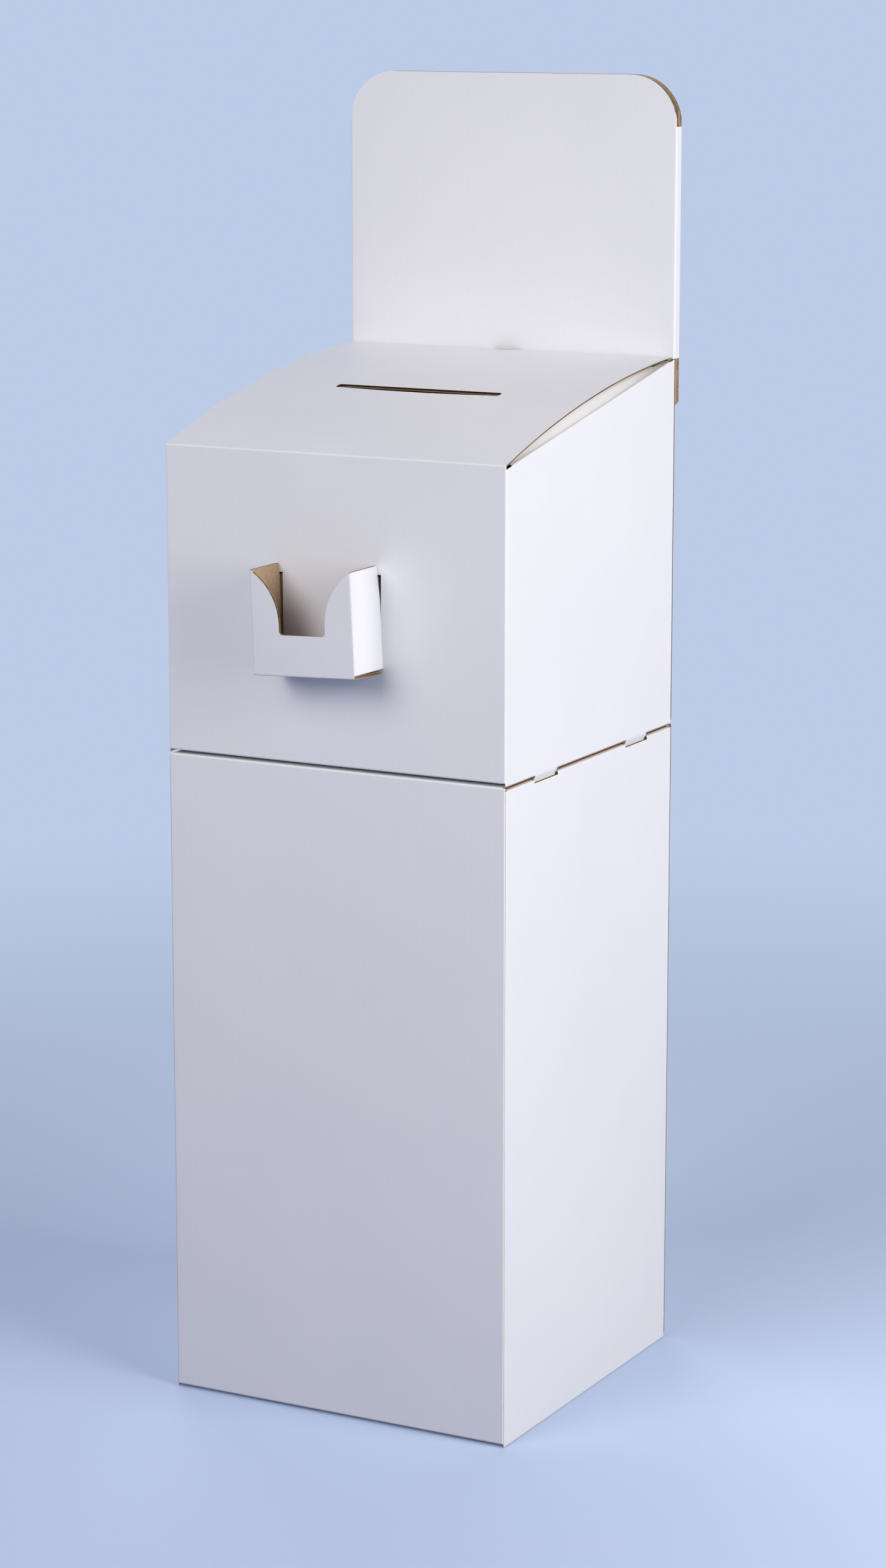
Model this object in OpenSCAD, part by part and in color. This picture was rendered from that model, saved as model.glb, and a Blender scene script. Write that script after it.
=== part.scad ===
// Free-standing ballot box of folded corrugated board: a tall pedestal, a box with
// a sloping slotted lid that stands on it, a slip-on header panel and a small
// leaflet pocket hooked through the box's front. The origin is the middle of the
// pedestal's footprint on the floor, +X is the viewer's right, +Y the back, +Z up.

/* [Board] */
// Thickness of the corrugated board
board = 3; // [2:0.5:4]
// Outer radius of a folded edge
fold_r = 2; // [0.5:0.1:2.5]
// Width of the glued laps inside the tubes
lap_w = 35; // [20:1:50]
// Room left beside pieces that move or tuck in
play = 0.4; // [0.3:0.05:0.6]

/* [Pedestal] */
// Width of the pedestal and of the box on it
body_w = 370; // [320:5:450]
// Depth of the pedestal and of the box on it
body_d = 370; // [320:5:450]
// Height of the pedestal's side walls
base_h = 650; // [400:10:900]
// Slit left where two flaps meet
flap_slit = 0.5; // [0.2:0.1:0.5]
// Room between a flap and the walls beside it
flap_room = 1; // [0.5:0.5:3]

/* [Lock tabs] */
// Width of a lock tab under the box's side wall
tab_w = 42; // [25:1:60]
// Distance between the two tabs of one side
tab_pitch = 200; // [120:5:220]
// How far a tab hangs below the box
tab_reach = 41; // [25:1:60]
// Width of the notch in the pedestal's rim for a tab
notch_w = 50; // [44:1:66]
// Depth of that notch below the rim
notch_drop = 5.5; // [4:0.5:9]
// Room left behind a tab in the pedestal's flaps
tab_room = 1.6; // [1:0.2:4]

/* [Box] */
// Height of the front wall
front_h = 300; // [240:5:400]
// Rise of the lid from its front crease to its rear crease
lid_rise = 69; // [45:1:100]
// How far the lid bows up above a straight line
lid_bow = 12; // [8:0.5:16]
// How far the lid's cut sides stand inside the box's sides
lid_inset = 0.5; // [0:0.25:2]
// Length of the ballot slot
slot_l = 181; // [100:1:220]
// Width of the ballot slot in its middle
slot_w = 11; // [7:0.5:16]
// How much narrower the slot is towards its ends
slot_bow = 3; // [1:0.5:4]
// Radius of the slot's corners
slot_end_r = 3.5; // [1:0.5:4]
// Distance of the slot from the lid's front crease
slot_back = 169; // [120:1:230]
// Width of the thumb cut in the lid's rear crease
thumb_w = 33; // [24:1:44]
// Depth of the thumb cut
thumb_d = 8; // [5:0.5:12]
// Length of the tuck flap behind the lid
tuck_h = 55; // [30:1:60]
// How far the tuck flap's ends stand inside the lid's
tuck_inset = 7.5; // [5:0.5:20]
// Reach of the dust flaps under the lid
dust_reach = 80; // [40:1:84]
// Angle by which the dust flaps spring up from their creases
dust_spring = 3; // [0:0.5:3]
// Gap between a dust flap's root and the front crease
dust_front = 12; // [8:1:30]
// Gap between the end of a dust flap's crease and the lid's rear crease
dust_end = 4; // [3:0.5:12]
// How far a dust flap is cut back there for the tuck flap
dust_rear = 28; // [24:1:50]
// Angle at which a dust flap narrows towards its free edge
dust_taper = 28; // [24:1:40]

/* [Header] */
// How much narrower the header is than the box
header_slack = 2; // [2:1:30]
// Height of the header above the box's back wall
header_h = 278; // [150:1:400]
// Radius of the header's upper corners
header_r = 50; // [20:1:90]
// How far the header has settled towards the right
header_shift = 3; // [0:0.5:3]
// Depth of the tongue that goes down inside the box
tongue_h = 58; // [30:1:70]
// How far the tongue's sides stand inside the header's
tongue_inset = 12; // [10:0.5:40]
// Depth of the header's rear panel behind the box
rear_drop = 48; // [20:1:90]
// Radius of the rear panel's lower corners
rear_corner_r = 8; // [0:1:18]

/* [Leaflet pocket] */
// Width of the pocket
pocket_w = 110; // [90:1:140]
// Height of the pocket
pocket_h = 101; // [70:1:130]
// How far the pocket stands out from the box
pocket_d = 51; // [25:1:60]
// Middle of the pocket, to the right of the box's middle
pocket_x = -5; // [-60:1:60]
// Middle of the pocket above the foot of the box's front wall
pocket_z = 144.5; // [100:0.5:180]
// Angle by which the pocket hangs out of true in its slots
pocket_tilt = 2.5; // [0:0.5:3]
// Width of the finger cut in the pocket's front
cut_w = 50; // [30:1:64]
// Depth of the finger cut
cut_drop = 61.5; // [40:0.5:64]
// Radius of the sweeps from the finger cut out to the pocket's corners
cut_sweep = 60; // [56:1:70]
// Height of the pocket's tabs
hook_h = 80; // [40:1:84]
// Room above and below a tab in its slot
hook_room = 2; // [1:0.5:4]
// Length of a tab's leaf behind the box's front wall
hook_leaf = 28; // [15:1:35]

/* [Hidden] */
$fn = 48;
// Facets of the large arcs
arc_fn = 720;
// Overshoot of a cutter past the face that it cuts
over = 1;
bend_r = min(fold_r, board * 0.9);
half_w = body_w / 2;
half_d = body_d / 2;
inset = board + flap_room;

// Heights of the box, which rests on the pedestal's upper flaps
box_z = base_h + board + play;
front_z = box_z + board;
crease_z = front_z + front_h;

// Stack at the back wall: glued lap, back wall, then the header's rear panel
saddle = 2 * board + play;
header_d = saddle + 2 * board;
header_y = half_d + play / 2 + board - header_d;
header_w = body_w - header_slack;

// The lid's rear fold bulges by this much when its flap turns about the inner corner
fold_bulge = (board - bend_r) * (sqrt(2) - 1);
lid_y = header_y - play - fold_bulge;

// Arc of the lid, in a side view whose origin is the front crease
lid_run = lid_y + half_d;
lid_slope = atan(lid_rise / lid_run);
lid_chord = norm([lid_run, lid_rise]);
lid_r = lid_chord * lid_chord / (8 * lid_bow) + lid_bow / 2;
lid_half = asin(lid_chord / 2 / lid_r);
front_slope = lid_slope + lid_half;
rear_slope = lid_slope - lid_half;
lid_mid = [lid_run, lid_rise] / 2 + (lid_r - lid_bow) * [sin(lid_slope), -cos(lid_slope)];
lid_w = body_w - 2 * lid_inset;
thumb_r = (thumb_w * thumb_w / 4 + thumb_d * thumb_d) / (2 * thumb_d);

// The side walls' sloping tops lie one board and the play below the lid's ends
side_drop = (board + play) / cos(lid_slope);
seat_z = crease_z - side_drop + (body_d - board) * tan(lid_slope);

rim_z = base_h - notch_drop;
tab_in = board + play;
tab_cut = tab_in + board + tab_room;
header_top = seat_z + play + header_h;
hook_slot_w = board + hook_h * sin(pocket_tilt) + 2 * play;
hook_slot_h = hook_h + 2 * hook_room;
hook_x = (pocket_w - board) / 2;

WHITE = [0.93, 0.93, 0.95];
KRAFT = [0.72, 0.58, 0.42];

function ray(a) = [cos(a), sin(a)];

// Cutter that rounds the outer edge of a fold at point p, where panels leave
// at directions a1 and a2 with the inside of the board between them
module fold_round(p, a1, a2) {
    half = abs(a2 - a1) / 2;
    mid = (a1 + a2) / 2;
    c = p + ray(mid) * bend_r / sin(half);
    t1 = p + ray(a1) * bend_r / tan(half);
    t2 = p + ray(a2) * bend_r / tan(half);
    difference() {
        polygon([c, t1 + (t1 - c) / 2, p - ray(mid) * bend_r, t2 + (t2 - c) / 2]);
        translate(c) circle(bend_r);
    }
}

// Section of a flat panel: the outer face lies on y = 0 and the inside towards +y.
// a0 and a1 are the inner angles of the folds at its ends, and 0 is a cut edge.
module section(len, a0, a1) {
    in0 = a0 == 0 ? 0 : board / tan(a0 / 2);
    in1 = a1 == 0 ? 0 : board / tan(a1 / 2);
    difference() {
        polygon([[0, 0], [len, 0], [len - in1, board], [in0, board]]);
        if (a0 > 0) fold_round([0, 0], 0, a0);
        if (a1 > 0) fold_round([len, 0], 180, 180 - a1);
    }
}

// A section run along x for a length w, with its own x turned upwards
module along_x(w) {
    translate([w, 0, 0]) rotate([0, -90, 0]) linear_extrude(w) children();
}

// An outline drawn in x and z, run through the board from its outer face
module through(from = -over, depth = board + 2 * over) {
    translate([0, from + depth, 0]) rotate([90, 0, 0]) linear_extrude(depth) children();
}

// Flat panel on z = 0 with its outer face on y = 0.
// folds lists the inner angles at its left, right, bottom and top.
module panel(w, h, folds) {
    intersection() {
        linear_extrude(h) section(w, folds[0], folds[1]);
        along_x(w) section(h, folds[2], folds[3]);
    }
}

// Places a wall's frame: x along the wall, y inwards from its outer face.
// Sides are counted 0 front, 1 right, 2 back, 3 left.
module on_side(k) {
    wall = k % 2 == 0 ? body_w : body_d;
    depth = k % 2 == 0 ? body_d : body_w;
    rotate([0, 0, 90 * k]) translate([-wall / 2, -depth / 2, 0]) children();
}

// Panel folded inwards over a wall, with its outer face up at height z
module top_flap(x, w, reach, z, a = 90) {
    translate([x, 0, z]) rotate([-90, 0, 0]) panel(w, reach, [0, 0, a, 0]);
}

// Panel folded inwards under a wall, with its outer face down at height z
module bottom_flap(x, w, reach, z) {
    translate([x + w, 0, z]) rotate([90, 0, 180]) panel(w, reach, [0, 0, 90, 0]);
}

// Rectangle whose lower two and upper two corners are rounded, 0 for square ones
module rounded(w, h, low_r, high_r) {
    translate([0, low_r]) square([w, h - low_r - high_r]);
    translate([low_r, 0]) square([w - 2 * low_r, h - high_r]);
    translate([high_r, low_r]) square([w - 2 * high_r, h - low_r]);
    if (low_r > 0) for (x = [low_r, w - low_r]) translate([x, low_r]) circle(low_r);
    if (high_r > 0) for (x = [high_r, w - high_r]) translate([x, h - high_r]) circle(high_r);
}

// Runs its children at the two lock tab places along a side, from the side's start
module at_tabs(len) {
    for (s = [-1, 1]) translate([len / 2 + s * tab_pitch / 2, 0, 0]) children();
}

// Notches in the pedestal's rim where the lock tabs go in
module rim_notches() {
    at_tabs(body_d) translate([-notch_w / 2, 0, rim_z])
        through() rounded(notch_w, notch_drop + over, 3, 0);
}

module base_front_wall() {
    color(WHITE) on_side(0) translate([0, 0, board]) panel(body_w, base_h, [90, 90, 90, 90]);
}

module base_right_wall() {
    color(WHITE) on_side(1) difference() {
        panel(body_d - board, base_h, [90, 90, 90, 90]);
        rim_notches();
    }
}

module base_back_wall() {
    color(WHITE) on_side(2) translate([0, 0, board]) panel(body_w, base_h, [0, 90, 90, 90]);
}

module base_left_wall() {
    color(WHITE) on_side(3) difference() {
        panel(body_d, base_h, [90, 90, 90, 90]);
        rim_notches();
    }
}

// Lap folded in from the right wall and glued to the back wall
module glue_lap(z0, z1) {
    on_side(2) translate([0, board, z0]) panel(lap_w, z1 - z0, [90, 0, 0, 0]);
}

module base_glue_lap() {
    color(KRAFT) glue_lap(3 * board, base_h - 2 * board);
}

// Lower flaps: the side flaps lie lowest, the front and back flaps on top of them
module lower_flap(k, z, reach) {
    len = k % 2 == 0 ? body_w : body_d;
    on_side(k) bottom_flap(inset, len - 2 * inset, reach, z);
}

module base_bottom_flap_front() {
    color(WHITE) lower_flap(0, board, (body_d - flap_slit) / 2);
}

module base_bottom_flap_right() {
    color(WHITE) lower_flap(1, 0, (body_w - flap_slit) / 2);
}

module base_bottom_flap_back() {
    color(WHITE) lower_flap(2, board, (body_d - flap_slit) / 2);
}

module base_bottom_flap_left() {
    color(WHITE) lower_flap(3, 0, (body_w - flap_slit) / 2);
}

// Upper flap of the pedestal's front or back, notched at its sides for the tabs
module cross_flap(k) {
    on_side(k) difference() {
        top_flap(board + play, body_w - 2 * (board + play), (body_d - flap_slit) / 2, base_h + board);
        for (x = [-over, body_w - tab_cut])
            translate([x, half_d - (tab_pitch + notch_w) / 2, base_h - over])
                cube([tab_cut + over, notch_w, board + 2 * over]);
    }
}

// Upper flap of one of the pedestal's sides, cut at its crease for the tabs
module rim_flap(k) {
    on_side(k) difference() {
        top_flap(inset, body_d - 2 * inset, (body_w - flap_slit) / 2, base_h);
        at_tabs(body_d) translate([-notch_w / 2, -over, base_h - board - over])
            cube([notch_w, tab_cut + over, board + 2 * over]);
    }
}

module base_top_flap_front() {
    color(WHITE) cross_flap(0);
}

module base_top_flap_right() {
    color(WHITE) rim_flap(1);
}

module base_top_flap_back() {
    color(WHITE) cross_flap(2);
}

module base_top_flap_left() {
    color(WHITE) rim_flap(3);
}

// Frame of the pocket: its origin is the pocket's middle on the box's front face
module in_pocket() {
    translate([pocket_x, -half_d, front_z + pocket_z]) rotate([0, -pocket_tilt, 0]) children();
}

module box_front_wall() {
    color(WHITE) difference() {
        on_side(0) translate([0, 0, front_z])
            panel(body_w, front_h, [90, 90, 90, 90 + front_slope]);
        for (s = [-1, 1])
            translate([pocket_x + s * hook_x * cos(pocket_tilt), -half_d - over,
                       front_z + pocket_z + s * hook_x * sin(pocket_tilt) - hook_slot_h / 2])
                translate([-hook_slot_w / 2, 0, 0])
                    cube([hook_slot_w, board + 2 * over, hook_slot_h]);
    }
}

// Frame of a side wall's sloping top crease, seen on the right side: x climbs
// along the crease, y points into the box and z stands square to the crease
module on_slope() {
    on_side(1) translate([0, 0, crease_z - side_drop]) rotate([0, -lid_slope, 0]) children();
}

// Side wall of the box as the right side has it, with its rear fold at y = rear
module box_side_wall(rear) {
    tall = 2 * (front_h + lid_rise);
    intersection() {
        on_side(1) translate([0, 0, box_z]) panel(rear, tall, [90, 90, 90, 0]);
        on_slope() translate([-body_d / 2, 0, -tall])
            along_x(2 * body_d) section(tall, 0, 90 + dust_spring);
    }
}

module box_right_wall() {
    color(WHITE) box_side_wall(body_d - board);
}

module box_left_wall() {
    color(WHITE) mirror([1, 0, 0]) box_side_wall(body_d);
}

module box_back_wall() {
    color(WHITE) on_side(2) translate([0, 0, front_z])
        panel(body_w, seat_z - front_z, [0, 90, 90, 0]);
}

module box_glue_lap() {
    color(KRAFT) glue_lap(front_z + 2 * board, seat_z);
}

// Side flap under the box, with the windows that its lock tabs were cut from
module box_side_flap(k) {
    on_side(k) difference() {
        bottom_flap(inset, body_d - 2 * inset, (body_w - flap_slit) / 2, box_z);
        at_tabs(body_d) translate([-tab_w / 2 - play, -over, box_z - over])
            cube([tab_w + 2 * play, tab_reach + board + over, board + 2 * over]);
    }
}

module box_bottom_flap_front() {
    color(WHITE) lower_flap(0, front_z, (body_d - flap_slit) / 2);
}

module box_bottom_flap_right() {
    color(WHITE) box_side_flap(1);
}

module box_bottom_flap_back() {
    color(WHITE) lower_flap(2, front_z, (body_d - flap_slit) / 2);
}

module box_bottom_flap_left() {
    color(WHITE) box_side_flap(3);
}

// The two tabs under a side wall. Each leans in through the rim notch and hangs
// down inside the pedestal's wall.
module lock_tabs(k) {
    tip_z = box_z - tab_reach;
    on_side(k) at_tabs(body_d) intersection() {
        translate([tab_w / 2, 0, 0]) rotate([0, -90, 0]) linear_extrude(tab_w)
            polygon([[box_z, 0], [rim_z - play / 2, tab_in], [tip_z, tab_in],
                     [tip_z, tab_in + board], [rim_z + play, tab_in + board], [front_z, board]]);
        translate([-tab_w / 2, 0, tip_z])
            through(-over, tab_in + board + 2 * over) rounded(tab_w, 2 * tab_reach, 8, 0);
    }
}

module lock_tabs_right() {
    color(WHITE) lock_tabs(1);
}

module lock_tabs_left() {
    color(WHITE) lock_tabs(3);
}

// Dust flap as the right side has it, narrowing towards its free edge. Its rear end
// is cut back to a strip beside the tuck flap.
module dust_flap() {
    root = lid_chord - dust_front - dust_end;
    strip = lid_inset + tuck_inset - play;
    rear = lid_chord - dust_front - dust_rear;
    cut = (dust_reach - strip) * tan(dust_taper);
    on_slope() translate([dust_front, 0, 0]) rotate([dust_spring - 90, 0, 0]) intersection() {
        panel(root, dust_reach, [0, 0, 90 + dust_spring, 0]);
        through() polygon([[0, 0], [root, 0], [root, strip], [rear, strip],
                           [rear - cut, dust_reach], [cut, dust_reach]]);
    }
}

module dust_flap_right() {
    color(WHITE) dust_flap();
}

module dust_flap_left() {
    color(WHITE) mirror([1, 0, 0]) dust_flap();
}

// Side view of the bowed lid, from its front crease to its rear crease
module lid_section() {
    rear = [lid_run, lid_rise];
    front_in = ray((front_slope - 90) / 2);
    rear_in = ray(225 + rear_slope / 2);
    deep = 3 * board;
    difference() {
        intersection() {
            translate(lid_mid) difference() {
                circle(lid_r, $fn = arc_fn);
                circle(lid_r - board, $fn = arc_fn);
            }
            polygon([[0, 0], front_in * deep, rear + rear_in * deep, rear,
                     rear + [0, 2 * lid_bow], [0, 3 * lid_bow]]);
        }
        fold_round([0, 0], -90, front_slope);
        fold_round(rear, 180 + rear_slope, 270);
    }
}

// Outline of the ballot slot: its far side is straight and its near side bows out
module slot_outline() {
    plain_w = slot_w - slot_bow;
    end_r = min(slot_end_r, plain_w * 0.45);
    reach = slot_l / 2 - end_r;
    chord = reach - 2 * end_r;
    r = (chord * chord + slot_bow * slot_bow) / (2 * slot_bow);
    translate([-slot_l / 2, slot_w / 2 - plain_w]) rounded(slot_l, plain_w, end_r, end_r);
    intersection() {
        translate([0, r - slot_w / 2]) circle(r, $fn = arc_fn);
        translate([-reach, -slot_w]) square([2 * reach, slot_w]);
    }
}

module lid_panel() {
    rise = slot_back * tan(lid_slope) + lid_bow;
    color(WHITE) difference() {
        translate([-lid_w / 2, -half_d, crease_z])
            rotate([90, 0, 90]) linear_extrude(lid_w) lid_section();
        translate([0, slot_back - half_d, crease_z + rise]) rotate([lid_slope, 0, 0])
            translate([0, 0, -3 * board]) linear_extrude(6 * board) slot_outline();
        translate([0, lid_y + thumb_r - thumb_d, crease_z + lid_rise - 4 * board])
            cylinder(h = 8 * board, r = thumb_r);
    }
}

module tuck_flap() {
    w = lid_w - 2 * tuck_inset;
    color(WHITE) translate([w / 2, lid_y, crease_z + lid_rise - tuck_h]) rotate([0, 0, 180])
        difference() {
            intersection() {
                panel(w, tuck_h, [0, 0, 0, 90 - rear_slope]);
                through() rounded(w, tuck_h + over, 20, 0);
            }
            translate([w / 2, -over, tuck_h + thumb_r - thumb_d]) rotate([-90, 0, 0])
                cylinder(h = board + 2 * over, r = thumb_r);
        }
}

// Frame of the header: x from its left edge, y from its front face, z from its seat
module in_header() {
    translate([header_shift - header_w / 2, header_y, seat_z + play]) children();
}

module header_front_panel() {
    color(WHITE) in_header() intersection() {
        translate([0, 0, -tongue_h]) panel(header_w, tongue_h + header_h, [90, 90, 0, 0]);
        through() union() {
            rounded(header_w, header_h, 0, header_r);
            translate([tongue_inset, -tongue_h])
                rounded(header_w - 2 * tongue_inset, tongue_h + over, 15, 0);
        }
    }
}

module header_rear_panel() {
    color(WHITE) in_header() translate([header_w, header_d, 0]) rotate([0, 0, 180]) intersection() {
        translate([0, 0, -rear_drop]) panel(header_w, rear_drop + header_h, [90, 0, 0, 0]);
        through() translate([0, -rear_drop])
            rounded(header_w, rear_drop + header_h, rear_corner_r, header_r);
    }
}

module header_right_spine() {
    color(WHITE) in_header() translate([header_w, 0, 0]) rotate([0, 0, 90])
        panel(header_d, header_h - header_r, [90, 90, 0, 0]);
}

module header_left_spine() {
    color(WHITE) in_header() translate([0, header_d - board, 0]) rotate([0, 0, -90])
        panel(header_d - board, header_h - header_r, [90, 90, 0, 0]);
}

module header_glue_lap() {
    color(KRAFT) in_header() translate([lap_w, header_d - board, 3 * board]) rotate([0, 0, 180])
        panel(lap_w, header_h - header_r - 6 * board, [0, 90, 0, 0]);
}

// Outline of the finger cut in the pocket's front, from the middle of the top edge
module cut_outline() {
    corner = 4;
    translate([-cut_w / 2, -cut_drop]) rounded(cut_w, cut_drop + over, corner, 0);
    // The sweeps leave the cut upright and run out to the pocket's upper corners
    difference() {
        half = pocket_w / 2;
        side = half - cut_w / 2;
        drop = sqrt(cut_sweep * cut_sweep - (cut_sweep - side) * (cut_sweep - side));
        translate([-half, -drop]) square([pocket_w, drop + over]);
        for (s = [-1, 1])
            translate([s * (cut_w / 2 + cut_sweep), -drop]) circle(cut_sweep, $fn = 180);
    }
}

module pocket_front() {
    color(WHITE) in_pocket() translate([-pocket_w / 2, -pocket_d, -pocket_h / 2]) difference() {
        panel(pocket_w, pocket_h, [90, 90, 90, 0]);
        translate([pocket_w / 2, 0, pocket_h]) through() cut_outline();
    }
}

// Side of the pocket as the right side has it. It stands on the pocket's bottom.
module pocket_side() {
    low = board + play;
    translate([pocket_w / 2, -pocket_d, low - pocket_h / 2]) rotate([0, 0, 90])
        panel(pocket_d, pocket_h - low, [90, 0, 0, 0]);
}

module pocket_right_side() {
    color(WHITE) in_pocket() pocket_side();
}

module pocket_left_side() {
    color(WHITE) in_pocket() mirror([1, 0, 0]) pocket_side();
}

module pocket_bottom() {
    color(WHITE) in_pocket() translate([-pocket_w / 2, -pocket_d, -pocket_h / 2])
        bottom_flap(0, pocket_w, pocket_d, 0);
}

// Tab that passes through a slot in the box's front and folds flat behind it, as the
// right side has it
module pocket_hook() {
    leg = 2 * board + play;
    translate([pocket_w / 2, 0, -hook_h / 2]) rotate([0, 0, 90])
        panel(leg, hook_h, [0, 90, 0, 0]);
    translate([pocket_w / 2, leg, -hook_h / 2]) rotate([0, 0, 180])
        panel(hook_leaf, hook_h, [90, 0, 0, 0]);
}

module pocket_hook_right() {
    color(WHITE) in_pocket() pocket_hook();
}

module pocket_hook_left() {
    color(WHITE) in_pocket() mirror([1, 0, 0]) pocket_hook();
}

base_front_wall();
base_right_wall();
base_back_wall();
base_left_wall();
base_glue_lap();
base_bottom_flap_front();
base_bottom_flap_right();
base_bottom_flap_back();
base_bottom_flap_left();
base_top_flap_front();
base_top_flap_right();
base_top_flap_back();
base_top_flap_left();
box_front_wall();
box_right_wall();
box_back_wall();
box_left_wall();
box_glue_lap();
box_bottom_flap_front();
box_bottom_flap_right();
box_bottom_flap_back();
box_bottom_flap_left();
lock_tabs_right();
lock_tabs_left();
dust_flap_right();
dust_flap_left();
lid_panel();
tuck_flap();
header_front_panel();
header_right_spine();
header_rear_panel();
header_left_spine();
header_glue_lap();
pocket_front();
pocket_right_side();
pocket_left_side();
pocket_bottom();
pocket_hook_right();
pocket_hook_left();
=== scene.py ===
import math

import bpy
from mathutils import Matrix, Vector


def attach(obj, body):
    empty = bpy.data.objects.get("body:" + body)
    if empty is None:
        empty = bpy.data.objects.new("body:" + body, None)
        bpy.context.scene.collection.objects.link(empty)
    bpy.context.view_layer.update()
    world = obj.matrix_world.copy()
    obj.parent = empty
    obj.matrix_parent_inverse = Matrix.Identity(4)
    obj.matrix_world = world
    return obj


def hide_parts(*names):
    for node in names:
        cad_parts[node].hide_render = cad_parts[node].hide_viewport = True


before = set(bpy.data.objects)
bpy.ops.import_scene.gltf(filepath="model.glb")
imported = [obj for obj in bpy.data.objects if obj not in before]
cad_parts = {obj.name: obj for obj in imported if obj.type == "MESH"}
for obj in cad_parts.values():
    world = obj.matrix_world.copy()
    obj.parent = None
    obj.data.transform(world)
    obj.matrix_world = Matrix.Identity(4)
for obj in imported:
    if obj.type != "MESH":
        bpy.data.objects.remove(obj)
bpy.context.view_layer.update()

# Camera: the eye of a standing person, in front of the right front corner, with the
# long lens that the picture's nearly parallel uprights ask for.
PICTURE_HEIGHT = 2576
FOCAL_PIXELS = 6631
SENSOR_WIDTH = 36
CAMERA_PLACE = (1.87465, -3.47763, 1.41749)
CAMERA_DIP = 0.20264
CAMERA_TURN = 0.48998
camera_data = bpy.data.cameras.new("camera")
camera_data.sensor_width = SENSOR_WIDTH
camera_data.lens = FOCAL_PIXELS / PICTURE_HEIGHT * SENSOR_WIDTH
camera = bpy.data.objects.new("camera", camera_data)
camera.location = CAMERA_PLACE
camera.rotation_euler = (math.pi / 2 - CAMERA_DIP, 0, CAMERA_TURN)
bpy.context.scene.collection.objects.link(camera)
bpy.context.scene.camera = camera
bpy.context.scene.view_settings.view_transform = "Standard"


# Stage: a wide pale blue floor under a sky of the same colour, with soft lamps. The
# lens sees the floor's colour as it is written, with the object's shadow near it.
class Wire:
    """A socket of a node tree. Sums and products of wires add the Math nodes."""

    def __init__(self, tree, socket=None):
        self.tree, self.socket = tree, socket

    def node(self, kind, settings=None, sockets=None, output=0):
        """Adds a node, with its settings first, then its sockets' values or wires."""
        made = self.tree.nodes.new("ShaderNode" + kind)
        for name, value in (settings or {}).items():
            setattr(made, name, value)
        for name, value in (sockets or {}).items():
            if isinstance(value, Wire):
                self.tree.links.new(value.socket, made.inputs[name])
            else:
                made.inputs[name].default_value = value
        return Wire(self.tree, made.outputs[output] if made.outputs else None)

    def math(self, operation, *values):
        return self.node("Math", {"operation": operation}, dict(enumerate(values)))

    def dot(self, direction):
        return self.node("VectorMath", {"operation": "DOT_PRODUCT"},
                         {0: self, 1: direction}, "Value")

    def mix(self, first, second):
        """Colour that goes from first to second as this wire goes from 0 to 1."""
        return self.node("Mix", {"data_type": "RGBA"}, {0: self, 6: first, 7: second}, 2)

    def step(self, low, high):
        """0 below low, 1 above high, and smooth in between."""
        return self.node("MapRange", {"interpolation_type": "SMOOTHSTEP"},
                         {0: self, 1: low, 2: high})

    def noise(self, scale, detail):
        return self.node("TexNoise", None, {"Vector": self, "Scale": scale, "Detail": detail})

    def __add__(self, other):
        return self.math("ADD", self, other)

    def __sub__(self, other):
        return self.math("SUBTRACT", self, other)

    def __rsub__(self, other):
        return self.math("SUBTRACT", other, self)

    def __mul__(self, other):
        return self.math("MULTIPLY", self, other)

    __radd__ = __add__
    __rmul__ = __mul__


def emptied(owner):
    """Clears the nodes of a material or world, and gives the wire that starts new ones."""
    owner.use_nodes = True
    owner.node_tree.nodes.clear()
    return Wire(owner.node_tree)


def seen(paint):
    """1 for the lens and for reflections, and 0 for the light that falls on things."""
    return paint.math("MAXIMUM", paint.node("LightPath", None, None, "Is Camera Ray"),
                      paint.node("LightPath", None, None, "Is Glossy Ray"))


BACKDROP = (0.50, 0.60, 0.80, 1)
FLOOR_PAINT = (0.55, 0.66, 0.88, 1)
FLOOR_BOUNCE = (0.15, 0.21, 0.42, 1)
FLOOR_RADIUS = 40
SHADOW_NEAR, SHADOW_FAR = 0.5, 2.6
LEAST_GLOW = 0.1
SKY_LIGHT = (0.19, 0.20, 0.25, 1)
bpy.ops.object.select_all(action="DESELECT")
bpy.ops.mesh.primitive_circle_add(vertices=64, radius=FLOOR_RADIUS, fill_type="NGON")
floor = bpy.context.object
floor.name = "floor"
floor_material = bpy.data.materials.new("floor")
paint = emptied(floor_material)
ground = paint.node("TexCoord", None, None, "Object")
distance = ground.node("VectorMath", {"operation": "LENGTH"}, {0: ground}, "Value")
matt = paint.node("BsdfDiffuse", None, {"Color": seen(paint).mix(FLOOR_BOUNCE, FLOOR_PAINT)})
glow = paint.node("Emission", None, {"Color": BACKDROP, "Strength": 1.0})
even = distance.step(SHADOW_NEAR, SHADOW_FAR) * (1 - LEAST_GLOW) + LEAST_GLOW
shader = paint.node("MixShader", None, {0: seen(paint) * even, 1: matt, 2: glow})
paint.node("OutputMaterial", None, {"Surface": shader})
floor.data.materials.append(floor_material)

world = bpy.data.worlds.new("studio")
bpy.context.scene.world = world
sky = emptied(world)
shader = sky.node("Background", None, {"Color": seen(sky).mix(SKY_LIGHT, BACKDROP)})
sky.node("OutputWorld", None, {"Surface": shader})


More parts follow.
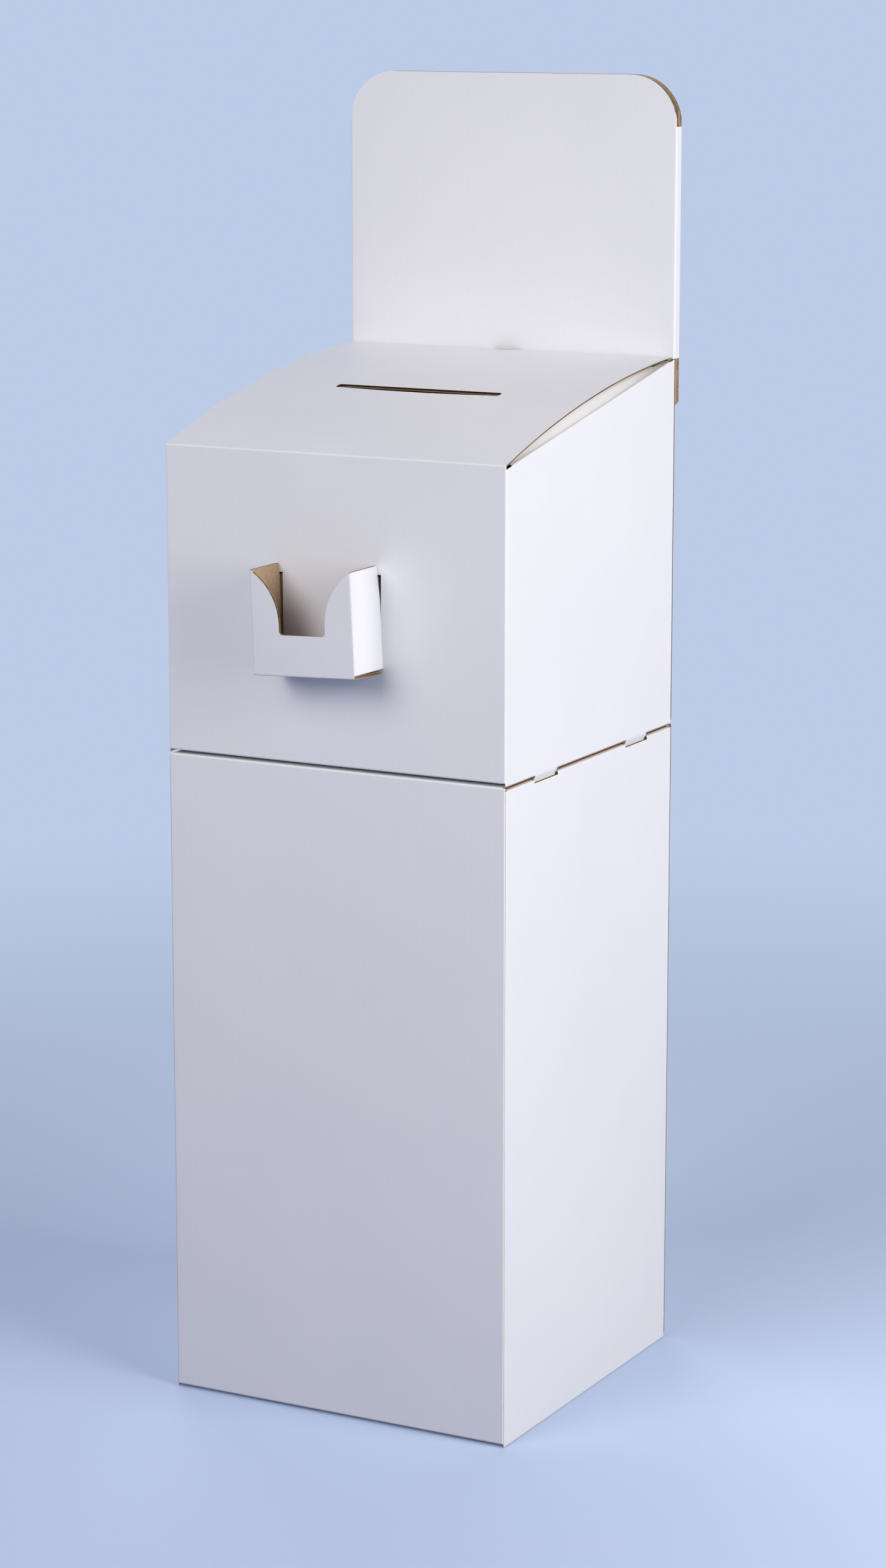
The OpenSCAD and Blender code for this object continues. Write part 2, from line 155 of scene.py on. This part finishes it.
def lamp(name, place, aim, size, power, colour, spread=180):
    """A soft box that shines from place towards aim, in a cone of spread degrees. It
    isn't mirrored in the board, which would clip to white where it is seen edge-on."""
    data = bpy.data.lights.new(name, "AREA")
    data.shape = "RECTANGLE"
    data.size, data.size_y = size
    data.energy, data.color = power, colour
    data.spread = math.radians(spread)
    made = bpy.data.objects.new(name, data)
    made.location = place
    made.rotation_euler = (Vector(aim) - Vector(place)).to_track_quat("-Z", "Y").to_euler()
    made.visible_glossy = False
    bpy.context.scene.collection.objects.link(made)


lamp("key", place=(2.8, -0.5, 1.4), aim=(0, 0, 0.8), size=(2.0, 1.8), power=88,
     colour=(1.0, 0.96, 0.88))
lamp("front", place=(-0.9, -3.0, 2.6), aim=(0, 0, 0.95), size=(3.2, 2.2), power=15.5,
     colour=(1.0, 0.965, 0.945), spread=60)
lamp("rear", place=(-2.1, 2.5, 1.0), aim=(0, 0, 0.75), size=(2.2, 1.6), power=13,
     colour=(1.0, 0.965, 0.93), spread=60)


# Pedestal: one blank of white-lined corrugated board, folded to a square tube and
# glued inside at its right rear edge. Four flaps close each end, without tape.
BOARD = 0.003
LINER = 0.0004
MEDIUM = 0.00028
FLUTE_PITCH = 0.00645
WHITE = (0.80, 0.80, 0.825, 1)
# The greyer white serves the paper's mottle and flutes, and also the painted shade that shade
# greys a board with.
WHITE_MOTTLE_AND_PAINTED_SHADE = (0.75, 0.755, 0.79, 1)
KRAFT = (0.40, 0.275, 0.165, 1)
KRAFT_PALE = (0.52, 0.38, 0.24, 1)
# Dark kraft is both the darker fibres of the fluted paper and the painted shade in a raw
# edge's hollows.
DARK_KRAFT_AND_HOLLOW_SHADE = (0.16, 0.10, 0.06, 1)
MOTTLE = {"scale": 7, "detail": 3}
MOTTLE_SPAN = (0.3, 0.7)
MOTTLE_TONE, FLUTE_TONE = 0.4, 0.12
GRAIN = {"scale": 900, "detail": 2}
FIBRES = {"scale": 260, "detail": 6}
FIBRE_SPAN = (0.25, 0.8)
FIBRE_TONE, RIB_TONE = 0.8, 0.2
EDGE_TONE, EDGE_FIBRE = 0.7, 0.3
MEDIUM_CORE, MEDIUM_RIM = 0.00015, 0.0004
LINER_BLUR = 1.4
BACK_SPAN = (0.55, 0.65)
FRONT_SPAN = (0.5, 0.6)
FLUTE_RELIEF, MOTTLE_RELIEF, GRAIN_RELIEF = 3e-6, 1.2e-4, 5e-6
KRAFT_ROUGHNESS, FIBRE_ROUGHNESS = 0.62, 0.1
WHITE_GLOSS, MOTTLE_GLOSS = 0.36, 0.06
SCORE_START, SCORE_WIDTH = 0.0001, 0.0006
SCORE_DEPTH = 5e-5
SCORE_STRAY = {"scale": 9, "detail": 2}
STRAY_WIDTH = 6e-4
X, Y, Z = Vector((1, 0, 0)), Vector((0, 1, 0)), Vector((0, 0, 1))


def board_material(name, outward, flutes, face, shade=0.0, edge=1.0, fold=None):
    """Corrugated board whose white face passes through the point face and looks
    outward. Its inner face is kraft, and so are its raw edges, which show the liners,
    the wave of the flutes and, painted dark as their shade, the hollows between. The
    flutes run along the vector flutes. Shade greys and blues the white as painted shade,
    edge scales the raw edges' brightness, darkening them as painted shade below 1, and
    fold is how far from the middle a score line runs beside the panel's creases."""
    material = bpy.data.materials.new(name)
    paint = emptied(material)
    place = paint.node("TexCoord", None, None, "Object")
    facing = paint.node("TexCoord", None, None, "Normal").dot(outward)
    across = outward.cross(flutes).normalized()
    wave = paint.math("COSINE", place.dot(across) * (2 * math.pi / FLUTE_PITCH))
    crest = wave * 0.5 + 0.5
    depth = face.dot(outward) - place.dot(outward)

    # White paper: barely mottled, with the flutes just showing through, and greyed as painted
    # shade where shade asks for it
    mottle = place.noise(**MOTTLE)
    tone = mottle.step(*MOTTLE_SPAN) * MOTTLE_TONE + crest * FLUTE_TONE + shade
    white = tone.math("MINIMUM", tone, 1.0).mix(WHITE, WHITE_MOTTLE_AND_PAINTED_SHADE)

    # Kraft paper: fibres, and paler ribs over the flutes
    fibre = place.noise(**FIBRES)
    kraft = (fibre.step(*FIBRE_SPAN) * FIBRE_TONE + crest * RIB_TONE).mix(KRAFT, KRAFT_PALE)

    # Raw edge: two pale liners, the wave of the medium, and the hollows between, painted dark
    # as their shade
    off_medium = paint.math("ABSOLUTE", depth - (wave * (BOARD / 2 - LINER) + BOARD / 2))
    off_middle = paint.math("ABSOLUTE", depth - BOARD / 2)
    paper = paint.math(
        "MAXIMUM", 1 - off_medium.step(MEDIUM_CORE, MEDIUM_RIM),
        off_middle.step(BOARD / 2 - LINER * LINER_BLUR, BOARD / 2 - LINER))
    cut = (paper * (EDGE_TONE + EDGE_FIBRE * fibre) * edge).mix(DARK_KRAFT_AND_HOLLOW_SHADE, KRAFT_PALE)

    # The way a face looks tells which of the three it is
    back = (facing * -1).step(*BACK_SPAN)
    front = facing.step(*FRONT_SPAN)
    colour = front.mix(back.mix(cut, kraft), white)
    rough = (KRAFT_ROUGHNESS + FIBRE_ROUGHNESS * fibre
             - front * (WHITE_GLOSS - MOTTLE_GLOSS * mottle))
    height = wave * FLUTE_RELIEF + mottle * MOTTLE_RELIEF + place.noise(**GRAIN) * GRAIN_RELIEF
    if fold:
        beside = paint.math("ABSOLUTE", place.dot(across))
        stray = place.noise(**SCORE_STRAY) * STRAY_WIDTH
        beside = paint.math("ABSOLUTE", beside - fold + stray)
        height = height + beside.step(SCORE_START, SCORE_WIDTH) * SCORE_DEPTH
    normal = paint.node("Bump", None, {"Height": height, "Distance": 1.0})
    shader = paint.node("BsdfPrincipled", None, {
        "Base Color": colour, "Roughness": rough, "Normal": normal})
    paint.node("OutputMaterial", None, {"Surface": shader})
    return material


FLUTE_FIBRES = {"scale": 300, "detail": 5}
FLUTE_SPAN = (0.2, 0.8)
FLUTE_ROUGHNESS = 0.75


def flute_paper():
    """Brown paper of the board's middle."""
    material = bpy.data.materials.new("flute_paper")
    paint = emptied(material)
    fibre = paint.node("TexCoord", None, None, "Object").noise(**FLUTE_FIBRES)
    colour = fibre.step(*FLUTE_SPAN).mix(DARK_KRAFT_AND_HOLLOW_SHADE, KRAFT)
    shader = paint.node("BsdfPrincipled", None, {
        "Base Color": colour, "Roughness": FLUTE_ROUGHNESS})
    paint.node("OutputMaterial", None, {"Surface": shader})
    return material


FLUTE_PAPER = flute_paper()
LOOKS_ALONG = 0.7


def facing_of(node, hint):
    """The direction of a CAD panel's largest face that looks along hint, and a
    point on that face."""
    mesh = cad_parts[node].data
    faces = [face for face in mesh.polygons if face.normal.dot(hint) > LOOKS_ALONG]
    largest = max(faces, key=lambda face: face.area)
    return largest.normal.copy(), mesh.vertices[largest.vertices[0]].co.copy()


def paint_board(node, hint, flutes, **finish):
    """Gives a CAD panel its board material."""
    outward, face = facing_of(node, hint)
    material = board_material(node + "_board", outward, flutes, face, **finish)
    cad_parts[node].material_slots[0].material = material


def only(piece):
    """Makes piece the one selected object."""
    bpy.ops.object.select_all(action="DESELECT")
    piece.select_set(True)
    bpy.context.view_layer.objects.active = piece


def settle(piece):
    """Puts a piece's place, turn and size into its mesh."""
    only(piece)
    bpy.ops.object.transform_apply()


def modify(piece, kind, **settings):
    """Adds a modifier to piece and applies it."""
    only(piece)
    modifier = piece.modifiers.new(kind, kind)
    for name, value in settings.items():
        setattr(modifier, name, value)
    bpy.ops.object.modifier_apply(modifier=modifier.name)


def pick(piece, kind, test):
    """Goes into edit mode with those faces or vertices of piece that pass the test."""
    only(piece)
    bpy.ops.object.mode_set(mode="EDIT")
    bpy.ops.mesh.select_mode(type=kind)
    bpy.ops.mesh.select_all(action="DESELECT")
    bpy.ops.object.mode_set(mode="OBJECT")
    for part in piece.data.polygons if kind == "FACE" else piece.data.vertices:
        part.select = test(part)
    bpy.ops.object.mode_set(mode="EDIT")


def removed(piece, kind, test):
    """Deletes those faces or vertices of piece that pass the test."""
    pick(piece, kind, test)
    bpy.ops.mesh.delete(type=kind)
    bpy.ops.object.mode_set(mode="OBJECT")


def shifted(piece, test, offset):
    """Moves those vertices of piece that pass the test."""
    pick(piece, "VERT", test)
    bpy.ops.transform.translate(value=offset)
    bpy.ops.object.mode_set(mode="OBJECT")


def stretched(piece, test, factors, centre):
    """Scales those vertices of piece that pass the test, away from the point centre."""
    pick(piece, "VERT", test)
    bpy.ops.transform.resize(value=factors, center_override=centre)
    bpy.ops.object.mode_set(mode="OBJECT")


WELD = 1e-6


def traced(node, shape=None):
    """A merged copy of a CAD panel: the die that its board is cut with, which the
    function shape may change."""
    piece = bpy.data.objects.new(node + "_die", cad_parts[node].data.copy())
    bpy.context.scene.collection.objects.link(piece)
    piece.data.materials.clear()
    only(piece)
    bpy.ops.mesh.customdata_custom_splitnormals_clear()
    bpy.ops.object.mode_set(mode="EDIT")
    bpy.ops.mesh.select_all(action="SELECT")
    bpy.ops.mesh.remove_doubles(threshold=WELD)
    bpy.ops.object.mode_set(mode="OBJECT")
    if shape:
        shape(piece)
    return piece


MITRE = 0.5


def liner(node, name, side, shape=None):
    """Sheet of paper on the faces of a panel that look along side, and round its
    mitred ends, which look halfway there."""
    piece = traced(node, shape)
    piece.name = name
    removed(piece, "FACE", lambda face: face.normal.dot(side) < MITRE)
    modify(piece, "SOLIDIFY", thickness=LINER, offset=-1, use_even_offset=True)
    return piece


ZIGZAG_RISE = 3 * (BOARD / 2 - LINER - MEDIUM / 2)


def zigzag(name, first, last, length):
    """Strip along x, from flute first to flute last, whose columns rise and fall by
    turns, three times as far as the wave that subdivision leaves of them."""
    columns = 2 * (last - first)
    bpy.ops.mesh.primitive_grid_add(x_subdivisions=columns, y_subdivisions=1, size=1)
    piece = bpy.context.object
    piece.name = name
    piece.scale = (FLUTE_PITCH * (last - first), length, 1)
    piece.location = (FLUTE_PITCH * (last + first) / 2, 0, -ZIGZAG_RISE)
    settle(piece)
    shifted(piece, lambda point: round(point.co.x * 2 / FLUTE_PITCH) % 2 == 0,
            Z * 2 * ZIGZAG_RISE)
    return piece


def ripple(strip):
    """Rounds a zigzag strip to a wave and gives it the thickness of its paper."""
    modify(strip, "SUBSURF", levels=2, render_levels=2)
    modify(strip, "SOLIDIFY", thickness=MEDIUM, offset=0)


def cut_out(wave, die, inward):
    """Cuts a fluted sheet with a die that is lowered by a liner."""
    die.location = inward * LINER
    settle(die)
    modify(wave, "BOOLEAN", operation="INTERSECT", solver="MANIFOLD", object=die)
    bpy.data.objects.remove(die)


SPARE_LENGTH = 4 * FLUTE_PITCH


def medium(node, outward, flutes, face, shape=None):
    """The fluted middle of a flat panel, cut to its outline."""
    die = traced(node, shape)
    across = flutes.cross(outward)
    reach = [point.co.dot(across) / FLUTE_PITCH for point in die.data.vertices]
    run = [point.co.dot(flutes) for point in die.data.vertices]
    length = max(run) - min(run) + SPARE_LENGTH
    wave = zigzag(node + "_flutes", math.floor(min(reach)) - 1, math.ceil(max(reach)) + 1,
                  length)
    ripple(wave)
    turn = Matrix((across, flutes, outward)).transposed().to_4x4()
    middle = flutes * (max(run) + min(run)) / 2 + outward * (face.dot(outward) - BOARD / 2)
    wave.matrix_world = Matrix.Translation(middle) @ turn
    settle(wave)
    cut_out(wave, die, -outward)
    return wave


SAME_WAY = 0.9
SHARP_EDGE = math.radians(35)


def corrugated(name, node, body, hint, flutes, wave=None, slot="white_board", shape=None,
               **finish):
    """Stands a board of two liners and a fluted middle in for a CAD panel. Hint says
    which way its white face looks, and finish goes to its material."""
    outward, face = facing_of(node, hint)
    flutes = (flutes - outward * flutes.dot(outward)).normalized()
    outer = liner(node, name, outward, shape)
    inner = liner(node, name + "_inner", -outward, shape)
    wave = wave or medium(node, outward, flutes, face, shape)
    paper = board_material(name, outward, flutes, face, **finish)
    for sheet in (outer, inner):
        sheet.data.materials.append(paper)
    inner.data.materials.append(FLUTE_PAPER)
    for polygon in inner.data.polygons:
        if polygon.normal.dot(outward) > SAME_WAY:
            polygon.material_index = 1
    wave.data.materials.clear()
    wave.data.materials.append(FLUTE_PAPER)
    bpy.ops.object.select_all(action="DESELECT")
    for sheet in (outer, inner, wave):
        sheet.select_set(True)
    bpy.context.view_layer.objects.active = outer
    bpy.ops.object.join()
    bpy.ops.object.shade_smooth_by_angle(angle=SHARP_EDGE)
    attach(outer, body)
    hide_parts(node)
    return outer


WALL_FOLD = 0.1824
RIM_FOLD = 0.647
RIM_SLACK = 0.0001
NOTCH_DEPTH = 0.004
NOTCH_PLACE = 0.1
NOTCH_HALF = 0.026
NOTCH_KEEP = 0.1
WALL_END = 0.18
SEAM_INSET = 0.0012
FLAP_START = Vector((0, -0.170, 0))


def spread_rim(piece):
    """Raises the foot of the rim's notches, which the tabs in them press shut."""
    stretched(piece, lambda point: RIM_SLACK < RIM_FOLD - point.co.z < NOTCH_DEPTH
              and abs(abs(point.co.y) - NOTCH_PLACE) < NOTCH_HALF,
              (1, 1, NOTCH_KEEP), (0, 0, RIM_FOLD))


def set_seam(piece):
    """Draws the raw end of a back wall in behind the side wall that it meets."""
    shifted(piece, lambda point: point.co.x > WALL_END, -X * SEAM_INSET)


def set_back(piece):
    """Cuts a side flap off behind the front crease, so that the slit there is dark."""
    pick(piece, "VERT", lambda point: True)
    bpy.ops.mesh.bisect(plane_co=FLAP_START, plane_no=-Y, use_fill=True, clear_outer=True)
    bpy.ops.object.mode_set(mode="OBJECT")


paint_board("base_front_wall", -Y, Z, fold=WALL_FOLD)
for side, hint in (("right", X), ("left", -X)):
    corrugated(f"pedestal_{side}_wall", f"base_{side}_wall", "pedestal", hint, Z,
               fold=WALL_FOLD, shape=spread_rim)
corrugated("pedestal_back_wall", "base_back_wall", "pedestal", Y, Z, fold=WALL_FOLD,
           shape=set_seam)
corrugated("pedestal_glue_lap", "base_glue_lap", "pedestal", Y, Z, slot="kraft_board")
for side, flutes in (("front", Y), ("right", X), ("back", Y), ("left", X)):
    corrugated(f"pedestal_upper_flap_{side}", f"base_top_flap_{side}", "pedestal", Z, flutes)
    corrugated(f"pedestal_lower_flap_{side}", f"base_bottom_flap_{side}", "pedestal", -Z,
               flutes, shape=set_back if flutes == X else None)


# Box: a second blank of the same board, folded and glued to a tube that stands on the
# pedestal's upper flaps. The lock tabs, the dust flaps and the lid are panels of it.
for side, hint in (("front", -Y), ("right", X), ("left", -X)):
    paint_board(f"box_{side}_wall", hint, Z, fold=WALL_FOLD)
corrugated("box_rear_wall", "box_back_wall", "box", Y, Z, fold=WALL_FOLD, shape=set_seam)
corrugated("box_lap", "box_glue_lap", "box", Y, Z, slot="kraft_board")
for side, flutes in (("front", Y), ("right", X), ("back", Y), ("left", X)):
    corrugated(f"box_floor_flap_{side}", f"box_bottom_flap_{side}", "box", -Z, flutes,
               shape=set_back if flutes == X else None)


# Lock tabs: two on each side, cut from the box's side floor flaps and bent down into
# the pedestal. They are soft board, which spreads until it nearly fills the notches.
TAB_SPREAD = 1.12
TAB_KNEE = 0.6446
KNEE_REACH = 0.001
KNEE_RISE = 0.0022
for side, hint in (("right", X), ("left", -X)):
    node = f"lock_tabs_{side}"
    outward, face = facing_of(node, hint)
    tabs = traced(node)
    tabs.name = f"{side}_lock_tabs"
    for end in (-1, 1):
        stretched(tabs, lambda point: point.co.y * end > 0, (1, TAB_SPREAD, 1),
                  (0, NOTCH_PLACE * end, 0))
    shifted(tabs, lambda point: abs(point.co.z - TAB_KNEE) < KNEE_REACH, Z * KNEE_RISE)
    tabs.data.materials.append(board_material(tabs.name, outward, Z, face))
    bpy.ops.object.shade_smooth_by_angle(angle=SHARP_EDGE)
    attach(tabs, "box")
    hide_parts(node)


# Dust flaps: creased to the side walls and folded in under the lid. Their board
# springs up against it, so a bright strip of each shows below the lid's edge.
# Their white is greyed and blued as painted shade, for the strip that lies in shade under the
# lid.
FLAP_PAINTED_SHADE = 0.6
FLAP_SPRING = 0.009
FLAP_CREASE = 0.1835
FLAP_RISE = 0.008
FLAP_MIDDLE = -0.008
FLAP_HALF = 0.165
FLAP_CUTS = 0.16
FLAP_CAGE = (81, 18, 2)


def spaced(first, last, count):
    """Evenly spaced places from first to last."""
    return [first + (last - first) * i / (count - 1) for i in range(count)]


def crossed(piece, direction, places):
    """Cuts the faces of a piece across direction at those places, so it can bend."""
    pick(piece, "VERT", lambda point: True)
    for place in places:
        bpy.ops.mesh.select_all(action="SELECT")
        bpy.ops.mesh.bisect(plane_co=direction * place, plane_no=direction)
    bpy.ops.object.mode_set(mode="OBJECT")


def bent(piece, counts, push):
    """Bends a piece in a cage of counts points, each of which moves by push(point)."""
    low, high = [Vector([limit(point.co[i] for point in piece.data.vertices)
                         for i in range(3)]) for limit in (min, max)]
    bpy.ops.object.select_all(action="DESELECT")
    bpy.ops.object.add(type="LATTICE", location=(low + high) / 2)
    cage = bpy.context.object
    cage.scale = high - low
    cage.data.points_u, cage.data.points_v, cage.data.points_w = counts
    for way in "uvw":
        setattr(cage.data, f"interpolation_type_{way}", "KEY_LINEAR")
    bpy.context.view_layer.update()
    for point in cage.data.points:
        place = cage.matrix_world @ point.co
        point.co_deform = cage.matrix_world.inverted() @ (place + push(place))
    modify(piece, "LATTICE", object=cage)
    bpy.data.objects.remove(cage)


def eased(value):
    """0 below 0, 1 above 1, and smooth in between."""
    value = min(max(value, 0), 1)
    return value * value * (3 - 2 * value)


def spring(place):
    """How far a dust flap stands up at a place: none at its crease and its ends."""
    arch = max(1 - ((place.y - FLAP_MIDDLE) / FLAP_HALF) ** 2, 0)
    return Z * FLAP_SPRING * arch * eased((FLAP_CREASE - abs(place.x)) / FLAP_RISE)


for side, sign in (("right", 1), ("left", -1)):
    flap = corrugated(f"{side}_dust_flap", f"dust_flap_{side}", f"{side}_dust_flap", Z, X,
                      shade=FLAP_PAINTED_SHADE)
    crossed(flap, X, spaced(sign * FLAP_CREASE, sign * (FLAP_CREASE - FLAP_RISE), 5))
    crossed(flap, Y, spaced(-FLAP_CUTS, FLAP_CUTS, 17))
    bent(flap, FLAP_CAGE, spring)


# Lid: creased to the front wall and bowed over the box, because its blank is longer
# than the way back to its rear crease. The slot is die-cut through both liners.
FRONT_CREASE = Vector((0, -0.185, 0.9564))
REAR_CREASE = Vector((0, 0.174986, 1.0254))
LID_BOW = 0.012
LID_HALF = 0.1845
# The lid's and the tuck flap's raw edges, the slot's lips among them, are painted at half
# brightness as their shade.
LID_EDGE_SHADE = 0.5
LID_OVERRUN = 0.01
LID_STEPS = 20
PROFILE = 0.01
SLOT_PLACE = -0.0145
SLOT_REACH = 0.092
SLOT_LIP = 0.008
SLOT_SPREAD = 0.0012
LID_CRUSH = 0.0017
CRUSH_START, CRUSH_WIDTH = 0.006, 0.003
CRUSH_END = 0.150
chord = REAR_CREASE - FRONT_CREASE
slope = chord.normalized()
lid_radius = chord.length ** 2 / (8 * LID_BOW) + LID_BOW / 2
lid_up = X.cross(chord).normalized()
lid_centre = (FRONT_CREASE + REAR_CREASE) / 2 - lid_up * (lid_radius - LID_BOW)
lid_angle = 2 * math.asin(chord.length / 2 / lid_radius) + LID_OVERRUN
wave_count = math.ceil(LID_HALF / FLUTE_PITCH) + 1
lid_wave = zigzag("lid_flutes", -wave_count, wave_count, PROFILE)
removed(lid_wave, "VERT", lambda point: point.co.y > 0)
start = Matrix.Rotation(-lid_angle / 2, 4, X) @ (lid_up * (lid_radius - BOARD / 2)).to_4d()
lid_wave.rotation_euler = (-math.atan2(start.y, start.z), 0, 0)
lid_wave.location = lid_centre + start.to_3d()
settle(lid_wave)
bpy.ops.object.mode_set(mode="EDIT")
bpy.ops.mesh.select_all(action="SELECT")
bpy.ops.mesh.spin(steps=LID_STEPS, angle=lid_angle, center=lid_centre, axis=X)
bpy.ops.object.mode_set(mode="OBJECT")
ripple(lid_wave)


def spread_slot(piece):
    """Presses the slot's two lips apart a little, as papers do."""
    for end in (-1, 1):
        shifted(piece, lambda point: abs(point.co.x) < SLOT_REACH
                and 0 < (point.co.y - SLOT_PLACE) * end < SLOT_LIP,
                slope * SLOT_SPREAD * end)


cut_out(lid_wave, traced("lid_panel", spread_slot), -lid_up)
lid = corrugated("lid_board", "lid_panel", "lid", Z, Y, lid_wave, shape=spread_slot,
                 edge=LID_EDGE_SHADE)
crossed(lid, X, [LID_HALF - CRUSH_START, CRUSH_START - LID_HALF])
shifted(lid, lambda point: abs(point.co.x) > LID_HALF - CRUSH_WIDTH
        and point.co.y < CRUSH_END
        and (point.co - lid_centre).yz.length < lid_radius - BOARD / 2,
        lid_up * LID_CRUSH)
corrugated("tuck_flap_board", "tuck_flap", "lid_tuck", Y, Z, edge=LID_EDGE_SHADE)


# Header: a third blank, folded to a flat tube with narrow spines and glued at the
# back. It stands astride the box's back wall, with a tongue of it inside.
corrugated("header_front", "header_front_panel", "header", -Y, Z)
corrugated("header_rear", "header_rear_panel", "header", Y, Z)
corrugated("header_spine_right", "header_right_spine", "header", X, Z)
corrugated("header_spine_left", "header_left_spine", "header", -X, Z)
corrugated("header_lap", "header_glue_lap", "header", Y, Z, slot="kraft_board")


# Pocket: a small fourth blank, folded to a tray and hung a little askew by tabs in
# slots of the front wall. It is only pushed into shape, so its right side bows out at
# the wall and its floor sags there.
POCKET_TILT = math.radians(2.5)
# All four of the pocket's boards are greyed as painted shade, a little darker than the box's
# white.
POCKET_PAINTED_SHADE = 0.55
POCKET_FRONT, POCKET_REAR = -0.232, -0.190
POCKET_DEPTH = 0.040
POCKET_FOOT, POCKET_HEAD = 0.756, 0.853
LAST_CUT = 0.844
SIDE_BOW = 0.0021
BOW_FADE = 0.035
SIDE_CAGE = (2, 9, 13)
FLOOR_SAG = 0.0024
FLOOR_CAGE = (2, 9, 2)
pocket_flutes = Vector((-math.sin(POCKET_TILT), 0, math.cos(POCKET_TILT)))
pocket_cuts = spaced(POCKET_FRONT, POCKET_REAR, 8)


def bow(place):
    """How far the pocket's right side stands out at a place."""
    rearward = eased((place.y - POCKET_FRONT) / POCKET_DEPTH)
    return X * SIDE_BOW * rearward * eased((POCKET_HEAD - place.z) / BOW_FADE)


def sag(place):
    """How far the pocket's floor hangs down at a place."""
    return -Z * FLOOR_SAG * eased((place.y - POCKET_FRONT) / POCKET_DEPTH)


corrugated("pocket_face", "pocket_front", "box", -Y, pocket_flutes, shade=POCKET_PAINTED_SHADE)
right_side = corrugated("pocket_side_right", "pocket_right_side", "box", X, pocket_flutes,
                        shade=POCKET_PAINTED_SHADE)
crossed(right_side, Y, pocket_cuts)
crossed(right_side, Z, spaced(POCKET_FOOT, LAST_CUT, 12))
bent(right_side, SIDE_CAGE, bow)
corrugated("pocket_side_left", "pocket_left_side", "box", -X, pocket_flutes,
           shade=POCKET_PAINTED_SHADE)
tray_floor = corrugated("pocket_floor", "pocket_bottom", "box", -Z, Y, shade=POCKET_PAINTED_SHADE)
crossed(tray_floor, Y, pocket_cuts)
bent(tray_floor, FLOOR_CAGE, sag)
paint_board("pocket_hook_right", X, pocket_flutes)
paint_board("pocket_hook_left", -X, pocket_flutes)
